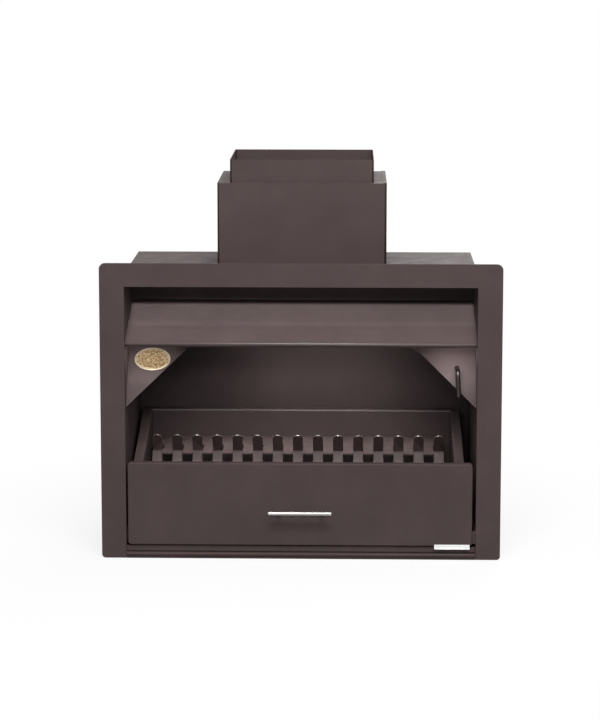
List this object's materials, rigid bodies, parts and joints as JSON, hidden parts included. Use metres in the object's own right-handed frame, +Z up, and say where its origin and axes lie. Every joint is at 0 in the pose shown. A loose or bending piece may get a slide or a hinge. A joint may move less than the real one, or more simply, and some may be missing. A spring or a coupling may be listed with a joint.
{
  "type": "built-in fireplace",
  "caption": "Built-in steel fireplace with a flanged front frame, sloped smoke hood, flue box and spigot, turning damper, and a pull-out fire drawer with a lanced grate.",
  "frame": {"origin": "middle of the hearth line: centre of the frame's width, on the wall plane behind the frame, at the underside of the base", "axes": "+X to the right seen from the room, +Y into the wall, +Z up"},
  "size_m": [1.06, 0.481, 1.054],
  "materials": {
    "body_paint": "satin heat-resistant paint, brown-grey",
    "grate_paint": "satin heat-resistant paint, brown-grey",
    "damper_steel": "dark oiled steel",
    "handle_steel": "satin stainless steel",
    "strip_metal": "bright satin",
    "badge_metal": "pale satin brass"
  },
  "bodies": {
    "firebox": {"front_frame": "body_paint", "firebox_base": "body_paint", "base_foot_strip": "body_paint", "base_sill": "body_paint", "firebox_left_side": "body_paint", "firebox_right_side": "body_paint", "firebox_back": "body_paint", "firebox_top": "body_paint", "smoke_hood": "body_paint", "left_corner_plate": "body_paint", "right_corner_plate": "body_paint", "flue_box": "body_paint", "flue_box_side_panel": "body_paint", "flue_spigot": "body_paint", "left_drawer_guide": "body_paint", "right_drawer_guide": "body_paint", "oval_badge": "badge_metal", "damper_front_bush": "damper_steel", "damper_rear_bushes": "damper_steel", "damper_handle_bush": "damper_steel"},
    "fire_drawer": {"drawer_front": "body_paint", "drawer_handle_bar": "handle_steel", "drawer_handle_posts": "handle_steel", "drawer_handle_screws": "handle_steel", "name_strip": "strip_metal", "fire_tray": "body_paint", "tray_runners": "body_paint", "fire_grate": "grate_paint"},
    "damper": {"damper_flap": "body_paint", "damper_spindle": "damper_steel", "damper_flap_crank": "damper_steel"},
    "damper_linkage": {"damper_link": "damper_steel"},
    "damper_handle": {"damper_handle_rod": "damper_steel", "damper_handle_crank": "damper_steel"}
  },
  "joints": [
    {"name": "drawer_slide", "type": "slide", "parent": "firebox", "child": "fire_drawer", "axis": [0, -1, 0], "range_m": [0, 0.3]},
    {"name": "damper_turn", "type": "hinge", "parent": "firebox", "child": "damper", "pos_m": [0, 0.33, 0.738], "axis": [0, 1, 0], "range_deg": [0, 90]},
    {"name": "damper_handle_turn", "type": "hinge", "parent": "firebox", "child": "damper_handle", "pos_m": [0.4155, 0.09, 0.5], "axis": [0, 1, 0], "range_deg": [0, 90]},
    {"name": "damper_link_swing", "type": "hinge", "parent": "damper", "child": "damper_linkage", "pos_m": [-0.00523, 0.422, 0.67823], "axis": [0, 1, 0], "range_deg": [-90, 0]}
  ],
  "couplings": [
    {"joint": "damper_handle_turn", "follows": "damper_turn", "ratio": 1},
    {"joint": "damper_link_swing", "follows": "damper_turn", "ratio": -1}
  ]
}
